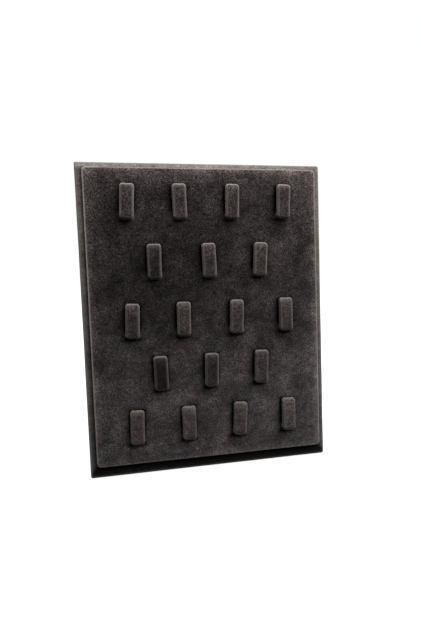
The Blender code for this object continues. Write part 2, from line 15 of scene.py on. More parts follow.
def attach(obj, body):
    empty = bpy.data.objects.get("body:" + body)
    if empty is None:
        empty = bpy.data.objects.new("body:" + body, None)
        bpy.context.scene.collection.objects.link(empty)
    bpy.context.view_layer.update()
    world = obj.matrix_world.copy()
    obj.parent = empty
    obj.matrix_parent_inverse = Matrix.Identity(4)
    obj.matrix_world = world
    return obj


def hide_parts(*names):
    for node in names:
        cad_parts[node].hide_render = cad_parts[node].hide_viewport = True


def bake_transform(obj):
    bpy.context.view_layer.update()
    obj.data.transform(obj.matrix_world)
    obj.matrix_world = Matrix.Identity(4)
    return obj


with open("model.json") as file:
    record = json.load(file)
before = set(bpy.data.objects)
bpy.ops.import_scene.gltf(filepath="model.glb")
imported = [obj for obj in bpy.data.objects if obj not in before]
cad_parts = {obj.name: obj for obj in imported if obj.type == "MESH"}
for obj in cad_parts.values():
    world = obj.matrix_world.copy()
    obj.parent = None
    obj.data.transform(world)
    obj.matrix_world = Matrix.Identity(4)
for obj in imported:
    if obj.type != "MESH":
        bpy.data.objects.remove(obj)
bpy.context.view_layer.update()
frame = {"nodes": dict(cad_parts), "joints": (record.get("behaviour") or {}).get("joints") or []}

# Axes of the leaning board and of the strut
LEAN = math.radians(11)
STRUT_LEAN = math.radians(10)
BOARD_AXES = Matrix.Rotation(-LEAN, 4, "X")
STRUT_AXES = Matrix.Rotation(STRUT_LEAN, 4, "X")

# Draws the same waves each run
WAVE_SEED = 7

# Skins, their wear, and the painted highlight on their edges
SKIN = 0.0005
EDGE_STEPS = 5
EDGE_RADIUS_OF_FULL_WEAR_AND_HIGHLIGHT = 0.0013
NARROWEST_FACE = 0.00001
PAINTED_RIM_LIGHT_BELOW = 0.03
PAINTED_RIM_LIGHT_SLOPE_UP = 1.6
PAINTED_RIM_LIGHT_SLOPE_DOWN = 2.2

# Cloth that the stuffing swells
SWELL_FRAMES = 20
CLOTH_QUALITY = 5
CLOTH_MASS = 0.3
STILL_PARTS = 1000

# Lines where two turned-in edges meet
MITRE_DEPTH = 0.00018
MITRE_WIDTH = 0.0008
MITRE_START = 0.002

# Board cover
BOARD_CORNER = 0.0018
BOARD_ROUND = 0.001
BOARD_TURN_IN = 0.014
BOARD_ZONES = ((BOARD_CORNER, 5), (0.012, 6))
BOARD_MIDDLES = (34, 42)
BOARD_WAVE_SIZES = (0.022, 0.05, 0.022)
BOARD_WAVE_ACROSS = 0.00012
BOARD_WAVE_DEEP = 0.0001
NAP = 0.0003

# Small folds at the board's corners, by side and end
EAR_REACH = 0.0022
EAR_OUT = 0.6
EAR_UP = 0.8
EAR_HEIGHTS = {(-1, 1): 0.0007, (1, 1): 0.0003, (-1, -1): 0.0003, (1, -1): 0.0002}

# Board cover: painted highlight on its top strip and upper sides, painted shadow by and under the
# panel, darker sides and back
TOP_STRIP_HIGHLIGHTS = (3, 1.9)
TOP_STRIP_REACH = 0.0015
UPPER_SIDE_HIGHLIGHT = 1.35
SIDE_TONE = 0.8
SIDE_FROM_DEPTH = 0.3
BACK_TONE = 0.55
BACK_FROM_DEPTH = 0.8
BACK_BLEND = 0.1
PANEL_SHADOW_TONE = 0.22
PANEL_SHADOW_REACH = 0.0018
LIP_SHADOW_TONE = 0.15
LIP_REACH = 0.012
LIP_BLEND = 0.003
# Share of rim wear and painted highlight on the board's side edges
BOARD_SIDE_WEAR_AND_HIGHLIGHT = 0.6

# Padded panel
PAD_CORNER = 0.0024
PAD_ROUND = 0.0014
PAD_BACK_ROUND = 0.0007
PAD_TURN_IN = 0.012
PAD_ZONES = ((PAD_CORNER - PAD_ROUND, 2), (0.008, 5))
PAD_MIDDLES = (54, 68)
PAD_WAVE_SIZE = 0.018
PAD_WAVE_LAYER = 3
PAD_WAVE = 0.00012
PAD_SWAY_SIZE = 0.024
PAD_SWAY = 0.00012
ROLL_WIDTH = 0.008
ROLL_DEPTH = 0.0012
ROLL_POWER = 2.5
DIMPLE_REACH = 0.0055
DIMPLE_DEPTH = 0.0004
SLIT_HALF_WIDTH = 0.0042
SLIT_HALF_HEIGHT = 0.0008
SLIT_DEPTH = 0.0005
PAD_SLACK = 0.0002
PAD_SWELL = 0.0004
PAD_PRESSURE = 2
PAD_MAGNIFY = 10
PAD_HELD_RIM = 0.003
PAD_HELD_BLEND = 0.008
PAD_HELD_ROOT = 0.005

# Painted light and shade on the panel: over its face, painted shade in the darker patch (dusk),
# painted highlights along its rims
PAD_DARK_TONE = 0.59
PAD_LIGHT_TONE = 1.26
PAD_LIGHT_BELOW = 0.55
PAD_LIGHT_BLEND = 0.4
PAD_ACROSS_TONE = 0.88
PAD_ACROSS_RISE = 0.22
PAD_DUSK_SHARES = (0.3, 0.66)
PAD_DUSK_TONE = 0.36
PAD_DUSK_REACH = 0.075
PAD_TOP_TONE = 0.68
PAD_TOP_REACH = 0.022
PAD_SIDE_TONE = 0.28
PAD_SIDE_REACH = 0.012
PAD_RIM_TONE = 0.65
PAD_RIM_REACH = 0.006
PAD_LEFT_TONE = 0.9
PAD_LEFT_REACH = 0.014
PAD_LEFT_HIGHLIGHT = 0.65
PAD_WEAR_AND_HIGHLIGHT = (0.47, 0.63)

# Painted shade round each clip, in the crease beside it and in the slit behind it
CLIP_HALO_SHADE = 0.38
CLIP_HALO_REACH = 0.0045
CREASE_TONE = 0.95
CREASE_REACH = 0.0016
UNDER_DROP = 0.0022
SLIT_TONE = 0.15

# Foam
FOAM_CORNER = 0.0012
FOAM_ROUNDS = (0.0008, 0.0001)
FOAM_ZONES = ((FOAM_CORNER, 3), (0.010, 5))
FOAM_MIDDLES = (34, 42)

# Clips
CLIP_CORNER = 0.0021
CLIP_ROUND = 0.0013
CLIP_THICKNESS = 0.0038
CLIP_ZONES_ACROSS = ((CLIP_CORNER - CLIP_ROUND, 2), (0.0015, 3))
CLIP_ZONES_UP = ((CLIP_CORNER - CLIP_ROUND, 2), (0.0025, 5))
CLIP_MIDDLES = (12, 24)
CLIP_SEEDS = (7.1, 3.7)
CLIP_WAVE_SIZE = 0.007
CLIP_WAVE = 0.00012
CLIP_WAVE_DEEP = 0.5
CLIP_SWAY_SIZE = 0.004
CLIP_SWAY = 0.00008
CLIP_CROWN = 0.00022
CLIP_CROWN_POWERS = (4, 8)
CLIP_TOP_ROLL = 0.001
CLIP_TOP_ROLL_REACH = 0.0038
HEEL_HALF_WIDTH = 0.0036
HEEL_HALF_HEIGHT = 0.0014
HEEL_BLENDS = (0.0007, 0.0006)
HEEL_HELD_WIDTH = HEEL_HALF_WIDTH + 0.0005
HEEL_HELD_HEIGHT = HEEL_HALF_HEIGHT + 0.0005
SEAM_WIDTH = 0.0007
SEAM_DEPTH = 0.00025
CLIP_SLACK = 0.0001
CLIP_SWELL = 0.00012
CLIP_PRESSURE = 4
CLIP_MAGNIFY = 20
CLIP_HALF_WIDTH = 0.0046
CLIP_TOP = 0.0188
CLIP_FOOT = -0.002
CLIP_ROWS_TOP = 0.16
PAD_SPAN = 0.15

# How light the clips' nap lies in each row, from its left end to its right end, and up each clip
ROW_NAPS = ((0.68, 0.62), (0.22, 1.02), (0.68, 0.75), (0.08, 0.82), (1.08, 1.12))
# Painted shade toward each clip's foot
CLIP_FOOT_REACH = 0.0035
CLIP_FOOT_SHADE = 0.4
CLIP_NAPS = (0.95, 1.3)
# Rim wear and painted highlight, from the lowest clips to the highest, and its share on side edges
CLIP_WEAR_AND_HIGHLIGHT = (0.36, 1.18)
CLIP_SIDE_WEAR_AND_HIGHLIGHT = 0.3

# Strut
STRUT_CORNER = 0.0025
STRUT_ROUND = 0.0008
STRUT_ZONES = ((STRUT_CORNER, 5), (0.010, 5))
STRUT_MIDDLES = (16, 34)
STRUT_TOP_WIDTH = 0.044
STRUT_FOOT_WIDTH = 0.070
STRUT_TURN_IN = 0.010
STRUT_TURN_BLEND = 0.0008
STRUT_TURN_STEP = 0.0002
STRUT_WAVE_SIZES = (0.02, 0.05, 0.02)
STRUT_WAVE = 0.0001
# Share of rim wear and painted highlight on the strut's side edges
STRUT_SIDE_WEAR_AND_HIGHLIGHT = 0.5

# Thin panels
PANEL_CORNER = 0.002
PANEL_ROUND = 0.0002
PANEL_ZONES = ((PANEL_CORNER, 4), (0.008, 4))
# Share of rim wear and painted highlight on the thin panels' side edges
PANEL_SIDE_WEAR_AND_HIGHLIGHT = 0.3
BACK_MIDDLES = (50, 62)
BACK_DENT_REACH = 0.006
BACK_DENT = 0.0001
BACK_SWAY_SIZE = 0.02
BACK_SWAY = 0.00006
LINING_ROUND = 0.00015

# Ribbon. Its edges start at shares of its half width
RIBBON_WIDTH = 0.008
RIBBON_THICKNESS = 0.0004
RIBBON_FLAP = 0.010
RIBBON_RIVET_FROM_BEND = 0.006
RIBBON_BEND_RADIUS = 0.0008
RIBBON_BEND_STEPS = 8
RIBBON_COLUMNS = 12
RIBBON_RIB_PITCH = 0.0005
RIBBON_RIB_HEIGHT = 0.00004
RIBBON_SAG = 0.0005
RIBBON_EDGE_START = 0.86
RIBBON_EDGE_BLEND = 0.1
RIBBON_EDGE_HEIGHT = 0.00004
RIBBON_RIM_START = 0.97
RIBBON_RIM_BLEND = 0.03
RIBBON_RIM_THINNING = 0.5

# Suede: EYE_POWER makes a swing even to the eye, and shares go from low on the stand to its top
EYE_POWER = 2.2
NOISE_SPAN = (0.3, 0.7)
NAP_HEIGHTS = (0.05, 0.16)
COOL_NAP_SHARES = (1, 0.2)
GRAIN_SHARES = (1, 1.4)
BLOTCH_SIZE = 0.014
BLOTCH_TWIST = 0.4
FLECK_SIZE = 0.0035
FLECK_CONTRAST = 1.25
GRAIN_SIZE = 0.0008
HUE_SIZE = 0.006
BRUSHED_SIZE = 0.0009
BRUSHED_CONTRAST = 1.25
SHEEN_TINT = (1, 0.94, 0.92, 1)
NAP_BUMP = 0.00012

# Suede colours: where the nap lies, its cooler patches, and rims lightened by wear and a painted
# highlight
PAD_COLOURS = ((0.0395, 0.032, 0.0312), (0.0318, 0.0298, 0.031), (0.32, 0.28, 0.26))
CLIP_COLOURS = ((0.045, 0.036, 0.0345), (0.040, 0.034, 0.033), (0.2, 0.175, 0.162))
BOARD_COLOURS = ((0.084, 0.077, 0.071), (0.072, 0.07, 0.067), (0.2, 0.175, 0.162))

# Other materials
ROLLED_STEEL = {"colour": (0.4, 0.41, 0.43), "roughness": 0.35, "spangle": 0.08}
ZINC_PLATE = {"colour": (0.36, 0.36, 0.35), "roughness": 0.45, "spangle": 0.22}
SPANGLE_SIZE = 0.004
DRAWN_STRETCH = (0.06, 1, 1)
DRAWN_SIZE = 0.00025
DRAWN_SPREAD = 0.08
DRAWN_BUMP = 0.00002
FIBREBOARD = {"colour": (0.42, 0.29, 0.18), "size": 0.0008, "contrast": 0.22}
GREYBOARD = {"colour": (0.36, 0.34, 0.31), "size": 0.0012, "contrast": 0.12}
FIBRE_TWIST = 1.5
FIBRE_BUMP = 0.00006
FIBRE_CLOUD_SIZE = 0.02
FIBRE_CLOUD_SPREAD = 0.07
FOAM_COLOUR = (0.12, 0.12, 0.12)
FOAM_CELL = 0.0006
FOAM_WALL = 0.6
FOAM_SHADES = (0.4, 1.2)
FOAM_BUMP = 0.0001
RIBBON_COLOUR = (0.03, 0.028, 0.028)
THREAD_SIZE = 0.0016
THREAD_SHADES = (0.75, 1.25)
THREAD_BUMP = 0.00003
RIBBON_CLOUD_SIZE = 0.003
RIBBON_CLOUD_SPREAD = 0.12

# Camera and stage
CAMERA_PLACE = (-0.0488, -0.2787, 0.1706)
CAMERA_PITCH = math.radians(14.53)
CAMERA_TURN = math.radians(10.77)
PHOTO_SIZE = (421, 631)
FOCAL_PIXELS = 421.3
SENSOR = 36
NEAREST_SEEN = 0.01
FLOOR_REACH = 3
LIT_MIDDLE = Vector((0, -0.02, 0.1))
LAMPS = {
    "key": {"from": (0.34, -0.55, 0.76), "distance": 0.46, "span": (0.6, 0.42), "power": 4.15},
    "back": {"from": (0, 0.55, 0.83), "distance": 0.6, "span": (0.9, 0.4), "power": 9},
}
WHITE = (1, 1, 1, 1)
AMBIENT = 0.16
FLOOR_SEEN = 0.3
FLOOR_BOUNCE = 0.05
FLOOR_LIFT = (0.76, 1)
FLOOR_FADE = (0.3, 1.1)


# Places and shares


def extent(node, axes):
    """The node's lowest and highest corners along the given axes."""
    back = axes.inverted()
    points = [back @ v.co for v in frame["nodes"][node].data.vertices]
    low = Vector([min(p[i] for p in points) for i in range(3)])
    high = Vector([max(p[i] for p in points) for i in range(3)])
    return low, high


def smooth_step(value):
    """Zero below 0, one above 1, and an S curve between."""
    value = min(max(value, 0), 1)
    return value * value * (3 - 2 * value)


def fade_out(distance, reach):
    """One at no distance, zero from the reach on, and an S curve between."""
    return 1 - smooth_step(distance / reach)


def between(first, second, share):
    """The number that lies that share of the way from the first to the second."""
    return first + (second - first) * share


def share_at(value, start, end):
    """How far a value lies from the start to the end, as a share."""
    return (value - start) / (end - start)


def bump_at(x, z, reach):
    """A round hill, one high at the middle and nearly zero at its reach."""
    return math.exp(-(x * x + z * z) / (reach * reach / 4))


def inside_edge(x, z, low, high):
    """How far inside the nearest edge of a box's face a point lies."""
    return min(x - low.x, high.x - x, z - low.z, high.z - z)


def sway(x, z, size, seed=Vector()):
    """Smooth noise over a face, from about -1 to 1, with features of the given size."""
    return noise.noise(Vector((x, 0, z)) / size + seed)


def waves(point, sizes):
    """A smooth random vector with its own feature size along each axis."""
    return noise.noise_vector(Vector([point[i] / sizes[i] for i in range(3)]))


def lattice_lines(length, zones, middle_steps):
    """Shares of a length, finer near both ends."""
    near = [0]
    for reach, steps in zones:
        start = near[-1]
        near += [start + (reach / length - start) * (i + 1) / steps for i in range(steps)]
    span = 1 - 2 * near[-1]
    middle = [near[-1] + span * (i + 1) / middle_steps for i in range(middle_steps - 1)]
    return near + middle + [1 - share for share in reversed(near)]


def lattice(low, high, zones, middles, zones_up=None):
    """The lines across and up a box's face.

    A zone is how far it reaches in from both edges and its steps. middles are the steps between.
    """
    across = lattice_lines(high.x - low.x, zones, middles[0])
    return across, lattice_lines(high.z - low.z, zones_up or zones, middles[1])


# Skins over boards, cushions and clips


def outline_point(u, w, low, high, inset, corner):
    """A point of a rounded rectangle's lattice, and the way out of it at that point."""
    x = low.x + inset + (high.x - low.x - inset * 2) * u
    z = low.z + inset + (high.z - low.z - inset * 2) * w
    core_x = min(max(x, low.x + inset + corner), high.x - inset - corner)
    core_z = min(max(z, low.z + inset + corner), high.z - inset - corner)
    out = Vector((x - core_x, z - core_z))
    reach = max(abs(out.x), abs(out.y))
    if reach:
        out.normalize()
    return Vector((core_x, core_z)) + out * reach, out


def lattice_rim(last_u, last_w):
    """The outer points of a lattice in turn, as the numbers of their lines."""
    return (
        [(i, 0) for i in range(last_u)]
        + [(last_u, j) for j in range(last_w)]
        + [(i, last_w) for i in range(last_u, 0, -1)]
        + [(0, j) for j in range(last_w, 0, -1)]
    )


def join_rows(bm, rows):
    """Faces between closed rows of points."""
    for near, far in zip(rows, rows[1:]):
        for k in range(len(near)):
            n = (k + 1) % len(near)
            bm.faces.new((near[k], far[k], far[n], near[n]))


def rounded_skin(low, high, corner, rounds, lines, relief, shape, side_steps=3, window=math.inf):
    """A closed lattice over a box with rounded edges, as a bmesh along the box's own axes.

    rounds are the front and back edge radii. relief(x, z, side) is how far each face sinks at a
    point, and shape(point) moves every finished point. The back is open deeper inside its edge
    than the window.
    """
    bm = bmesh.new()
    us, ws = lines
    rim = lattice_rim(len(us) - 1, len(ws) - 1)
    faces = {"front": (rounds[0], low.y, 1), "back": (rounds[1], high.y, -1)}

    def new_point(side, i, j, angle):
        radius, level, inward = faces[side]
        (x, z), out = outline_point(us[i], ws[j], low, high, radius, corner - radius)
        offset = radius * math.sin(angle)
        depth = radius * (1 - math.cos(angle)) + relief(x, z, side) * math.cos(angle)
        return bm.verts.new((x + out.x * offset, level + inward * depth, z + out.y * offset))

    def new_face(side):
        grid = {(i, j): new_point(side, i, j, 0) for i in range(len(us)) for j in range(len(ws))}
        for i in range(len(us) - 1):
            for j in range(len(ws) - 1):
                quad = [grid[i, j], grid[i + 1, j], grid[i + 1, j + 1], grid[i, j + 1]]
                middle = (quad[0].co + quad[2].co) / 2
                if side == "front":
                    bm.faces.new(quad)
                elif inside_edge(middle.x, middle.z, low, high) <= window:
                    bm.faces.new(quad[::-1])
        return [grid[key] for key in rim]

    def round_rows(side):
        turns = [math.pi / 2 * (k + 1) / EDGE_STEPS for k in range(EDGE_STEPS)]
        return [[new_point(side, i, j, turn) for i, j in rim] for turn in turns]

    edges = {side: [new_face(side)] for side in faces}
    for side, rows in edges.items():
        rows += round_rows(side)
    ends = list(zip(edges["front"][-1], edges["back"][-1]))
    shares = [k / side_steps for k in range(1, side_steps)]
    sides = [[bm.verts.new(a.co.lerp(b.co, share)) for a, b in ends] for share in shares]
    join_rows(bm, edges["front"] + sides + edges["back"][::-1])
    for v in bm.verts:
        v.co = shape(v.co)
    bmesh.ops.delete(bm, geom=[v for v in bm.verts if not v.link_faces], context="VERTS")
    bmesh.ops.recalc_face_normals(bm, faces=bm.faces)
    return bm


def swell(bm, held, pressure, cap, magnify):
    """Blows the skin up as its stuffing does, in a short cloth simulation, by the cap at most.

    held(point) is how firmly each point stays, from 0 to 1. The solver works on a magnified copy,
    because it is made for larger cloth.
    """
    mesh = bpy.data.meshes.new("swelling")
    bm.to_mesh(mesh)
    before = [v.co.copy() for v in mesh.vertices]
    mesh.transform(Matrix.Scale(magnify, 4))
    copy = bpy.data.objects.new("swelling", mesh)
    scene = bpy.context.scene
    scene.collection.objects.link(copy)
    group = copy.vertex_groups.new(name="held")
    for k, point in enumerate(before):
        group.add([k], held(point), "REPLACE")
    cloth = copy.modifiers.new("cloth", "CLOTH")
    cloth.settings.quality = CLOTH_QUALITY
    cloth.settings.mass = CLOTH_MASS
    cloth.settings.use_pressure = True
    cloth.settings.uniform_pressure_force = pressure
    cloth.settings.vertex_group_mass = "held"
    cloth.settings.effector_weights.gravity = 0
    cloth.collision_settings.use_collision = False
    cloth.point_cache.frame_end = SWELL_FRAMES
    for step in range(SWELL_FRAMES):
        scene.frame_set(step + 1)
    graph = bpy.context.evaluated_depsgraph_get()
    swollen = copy.evaluated_get(graph).to_mesh()
    for v, old, new in zip(bm.verts, before, swollen.vertices):
        move = new.co / magnify - old
        reach = max(move.length, cap / STILL_PARTS)
        v.co = old + move * (cap * math.tanh(reach / cap) / reach)
    bpy.data.objects.remove(copy)
    scene.frame_set(1)


def finer(bm):
    """The skin with one smooth subdivision."""
    mesh = bpy.data.meshes.new("coarse")
    bm.to_mesh(mesh)
    bm.free()
    coarse = bpy.data.objects.new("coarse", mesh)
    bpy.context.scene.collection.objects.link(coarse)
    coarse.modifiers.new("finer", "SUBSURF")
    apply_modifiers(coarse)
    fine = bmesh.new()
    fine.from_mesh(coarse.data)
    bpy.data.objects.remove(coarse)
    return fine


def sharpest_bend(vertex):
    """The sharpest convex bend at a vertex, as its angle by the width of the faces beside it."""
    bend = 0
    for edge in vertex.link_edges:
        if len(edge.link_faces) == 2 and edge.is_convex:
            first, second = [face.calc_center_median() for face in edge.link_faces]
            width = max((first - second).length, NARROWEST_FACE)
            bend = max(bend, edge.calc_face_angle(0) / width)
    return bend


def mark_wear_and_painted_light(bm, tone, sides=1, share=lambda point: 1, spread_steps=2):
    """Stores how far each bent edge is worn and lit by a painted highlight, and each vertex's tone
    with its painted light and shade.

    The painted highlight is strongest on edges that face up, takes the given part at the sides, and
    is least on those below, which are left in painted shade. share(point) is how far the whole edge
    is worn and lit there.
    """
    wear_and_highlight = bm.verts.layers.float.new("wear_and_highlight")
    painted_light_and_tone = bm.verts.layers.float.new("tone")
    bm.normal_update()
    for v in bm.verts:
        # Painted highlight on edges that face up, less at the sides, and painted shade on edges
        # below
        painted_highlight_share = between(sides, 1, smooth_step(v.normal.z * PAINTED_RIM_LIGHT_SLOPE_UP))
        painted_highlight_share *= between(PAINTED_RIM_LIGHT_BELOW, 1, smooth_step(v.normal.z * PAINTED_RIM_LIGHT_SLOPE_DOWN + 1))
        worn_and_lit = smooth_step(sharpest_bend(v) * EDGE_RADIUS_OF_FULL_WEAR_AND_HIGHLIGHT)
        v[wear_and_highlight] = worn_and_lit * painted_highlight_share * share(v.co)
        v[painted_light_and_tone] = tone(v.co)
    for _ in range(spread_steps):
        beside = {}
        for v in bm.verts:
            beside[v] = sum(e.other_vert(v)[wear_and_highlight] for e in v.link_edges) / len(v.link_edges)
        for v, value in beside.items():
            v[wear_and_highlight] = (v[wear_and_highlight] + value) / 2


def new_piece(name, bm, axes, finish, thickness=0):
    """A smooth piece along the given axes, level where it stands, and closed by any thickness."""
    mesh = bpy.data.meshes.new(name)
    bm.transform(axes)
    for v in bm.verts:
        v.co.z = max(v.co.z, 0)
    bm.to_mesh(mesh)
    bm.free()
    mesh.shade_smooth()
    mesh.materials.append(finish)
    piece = bpy.data.objects.new(name, mesh)
    bpy.context.scene.collection.objects.link(piece)
    if thickness:
        solid = piece.modifiers.new("thickness", "SOLIDIFY")
        solid.thickness = thickness
        solid.offset = -1
        apply_modifiers(piece)
    return piece


def apply_modifiers(piece):
    """Puts the piece's modifiers into its mesh."""
    graph = bpy.context.evaluated_depsgraph_get()
    mesh = bpy.data.meshes.new_from_object(piece.evaluated_get(graph))
    piece.modifiers.clear()
    piece.data = mesh


# Nodes of materials


def fill(tree, node, inputs):
    """Sets a node's inputs, each to a value or to another node's output."""
    for key, value in inputs.items():
        if isinstance(value, bpy.types.NodeSocket):
            tree.links.new(value, node.inputs[key])
        else:
            node.inputs[key].default_value = value


def node_maker(tree):
    """A helper that adds a node to the tree, with its inputs and its settings."""

    def add(kind, inputs=None, **settings):
        made = tree.nodes.new(kind)
        for key, value in settings.items():
            setattr(made, key, value)
        fill(tree, made, inputs or {})
        return made

    return add


def new_material(name):
    """A material, the helper that adds its nodes, and the place of each point on the object."""
    material = bpy.data.materials.new(name)
    material.use_nodes = True
    add = node_maker(material.node_tree)
    return material, add, add("ShaderNodeTexCoord").outputs["Object"]


def coat(material, inputs):
    """Sets the inputs of the material's shader."""
    fill(material.node_tree, material.node_tree.nodes["Principled BSDF"], inputs)
    return material


def figure(add, operation, *values):
    """One step of arithmetic on numbers or outputs."""
    return add("ShaderNodeMath", dict(enumerate(values)), operation=operation).outputs[0]


def multiply(add, *values):
    """The product of several numbers or outputs."""
    product = values[0]
    for value in values[1:]:
        product = figure(add, "MULTIPLY", product, value)
    return product


def spread(add, value, low, high, start=0, end=1, clamp=True):
    """Maps a value from the range of start to end onto that of low to high."""
    inputs = {"Value": value, "From Min": start, "From Max": end, "To Min": low, "To Max": high}
    return add("ShaderNodeMapRange", inputs, clamp=clamp).outputs["Result"]


def mix(add, first, second, share=1, way="MIX"):
    """Two colours mixed by a share."""
    inputs = {"Factor": share, "A": first, "B": second}
    return add("ShaderNodeMix", inputs, data_type="RGBA", blend_type=way).outputs["Result"]


def shaded(add, colour, shade):
    """A colour made lighter or darker by a factor."""
    return mix(add, colour, shade, way="MULTIPLY")


def bump(add, height, distance, strength):
    """The normals that a height gives."""
    inputs = {"Height": height, "Strength": strength, "Distance": distance}
    return add("ShaderNodeBump", inputs).outputs["Normal"]


def noise_range(add, place, size, low, high, detail=2, distortion=0):
    """Noise with features of the given size in metres, spread over a range."""
    inputs = {"Vector": place, "Scale": 1 / size, "Detail": detail, "Distortion": distortion}
    field = add("ShaderNodeTexNoise", inputs).outputs["Fac"]
    return spread(add, field, low, high, *NOISE_SPAN, clamp=False)


def mottle(add, place, size, reach, detail=2, distortion=0):
    """A noisy factor round 1, up to the reach above and below."""
    return noise_range(add, place, size, 1 - reach, 1 + reach, detail, distortion)


def wander(add, place, size, contrast, detail=2, distortion=0, strength=1):
    """A noisy factor round 1 that wanders evenly to the eye, by about the contrast."""
    share = math.log(contrast) / EYE_POWER
    swing = noise_range(add, place, size, -share, share, detail, distortion)
    return figure(add, "POWER", figure(add, "MULTIPLY_ADD", swing, strength, 1), EYE_POWER)


def by_height(add, place, shares):
    """A factor that goes from the first share low on the stand to the second near its top."""
    height = add("ShaderNodeSeparateXYZ", {"Vector": place}).outputs["Z"]
    return spread(add, height, *shares, *NAP_HEIGHTS)


# Materials


def suede(name, colours, sheen, blotch=1.58, grain=2.2):
    """Short-napped suede, by how light the nap lies, the painted light and shade of its tone, and
    how far wear and a painted highlight have lightened its rims.

    Low on the stand its hue is cooler in patches, and higher up its grain is stronger.
    """
    material, add, place = new_material(name)
    colour, cool, worn_and_lit = [(*value, 1) for value in colours]
    wear_and_highlight = add("ShaderNodeAttribute", attribute_name="wear_and_highlight").outputs["Fac"]
    tone = add("ShaderNodeAttribute", attribute_name="tone").outputs["Fac"]
    blotches = wander(add, place, BLOTCH_SIZE, blotch, detail=3, distortion=BLOTCH_TWIST)
    flecks = wander(add, place, FLECK_SIZE, FLECK_CONTRAST, detail=3)
    nap = wander(add, place, GRAIN_SIZE, grain, strength=by_height(add, place, GRAIN_SHARES))
    patches = noise_range(add, place, HUE_SIZE, 0, 1)
    tint = mix(add, colour, cool, multiply(add, patches, by_height(add, place, COOL_NAP_SHARES)))
    # The tone attribute darkens and lightens the nap's colour with painted light and shade
    nap_with_painted_light = shaded(add, tint, multiply(add, blotches, flecks, nap, tone))
    # Rims take a lighter colour, partly real wear and partly a painted highlight
    worn_and_lit_colour = shaded(add, worn_and_lit, wander(add, place, BRUSHED_SIZE, BRUSHED_CONTRAST))
    return coat(
        material,
        {
            "Base Color": mix(add, nap_with_painted_light, worn_and_lit_colour, wear_and_highlight),
            "Roughness": 0.95,
            "Specular IOR Level": 0,
            "Sheen Weight": sheen,
            "Sheen Roughness": 0.4,
            "Sheen Tint": SHEEN_TINT,
            "Normal": bump(add, multiply(add, nap, flecks), NAP_BUMP, strength=0.5),
        },
    )


def metal(name, colour, roughness, spangle):
    """Plated or rolled steel with faint patches and fine drawn lines."""
    material, add, place = new_material(name)
    patches = mottle(add, place, SPANGLE_SIZE, spangle)
    drawn = add("ShaderNodeMapping", {"Vector": place, "Scale": DRAWN_STRETCH}).outputs["Vector"]
    lines = mottle(add, drawn, DRAWN_SIZE, DRAWN_SPREAD, detail=3)
    return coat(
        material,
        {
            "Base Color": shaded(add, (*colour, 1), multiply(add, patches, lines)),
            "Roughness": multiply(add, roughness, patches, lines),
            "Metallic": 1,
            "Normal": bump(add, lines, DRAWN_BUMP, strength=0.3),
        },
    )


def pressed_fibre(name, colour, size, contrast):
    """Pressed board or card: short fibres in several tones."""
    material, add, place = new_material(name)
    fibres = mottle(add, place, size, contrast, detail=5, distortion=FIBRE_TWIST)
    clouds = mottle(add, place, FIBRE_CLOUD_SIZE, FIBRE_CLOUD_SPREAD)
    return coat(
        material,
        {
            "Base Color": shaded(add, (*colour, 1), multiply(add, fibres, clouds)),
            "Roughness": 0.9,
            "Normal": bump(add, fibres, FIBRE_BUMP, strength=0.4),
        },
    )


def open_foam(name):
    """Soft foam: open cells."""
    material, add, place = new_material(name)
    cells = add("ShaderNodeTexVoronoi", {"Vector": place, "Scale": 1 / FOAM_CELL})
    pores = spread(add, cells.outputs["Distance"], *FOAM_SHADES, end=FOAM_WALL)
    return coat(
        material,
        {
            "Base Color": shaded(add, (*FOAM_COLOUR, 1), pores),
            "Roughness": 0.95,
            "Normal": bump(add, pores, FOAM_BUMP, strength=0.6),
        },
    )


def satin(name):
    """Woven satin ribbon: fine threads across its ribs, with a soft gloss."""
    material, add, place = new_material(name)
    inputs = {"Vector": place, "Scale": 1 / THREAD_SIZE}
    inputs.update({"Distortion": 0.6, "Detail": 2, "Detail Scale": 2})
    threads = add("ShaderNodeTexWave", inputs, bands_direction="X").outputs["Fac"]
    clouds = mottle(add, place, RIBBON_CLOUD_SIZE, RIBBON_CLOUD_SPREAD)
    shade = multiply(add, spread(add, threads, *THREAD_SHADES), clouds)
    return coat(
        material,
        {
            "Base Color": shaded(add, (*RIBBON_COLOUR, 1), shade),
            "Roughness": 0.42,
            "Sheen Weight": 0.3,
            "Normal": bump(add, threads, THREAD_BUMP, strength=0.3),
        },
    )


# Board


def mitre_groove(to_side, to_end):
    """How deep the line sinks where two turned-in edges meet at a corner."""
    across = (to_side - to_end) / MITRE_WIDTH
    return MITRE_DEPTH * math.exp(-(across**2)) * smooth_step(to_side / MITRE_START)


def board_shape(low, high):
    """Small waves in the board's cover, and the folds at its corners."""

    def shape(point):
        moved = point.copy()
        wave = waves(point, BOARD_WAVE_SIZES)
        moved.x += wave.x * BOARD_WAVE_ACROSS
        moved.y += wave.y * BOARD_WAVE_DEEP
        for (side, end), height in EAR_HEIGHTS.items():
            x = point.x - (high.x if side > 0 else low.x)
            z = point.z - (high.z if end > 0 else low.z)
            hill = bump_at(x, z, EAR_REACH) * height
            moved.x += hill * side * EAR_OUT
            moved.z += hill * end * EAR_UP
        return moved

    return shape


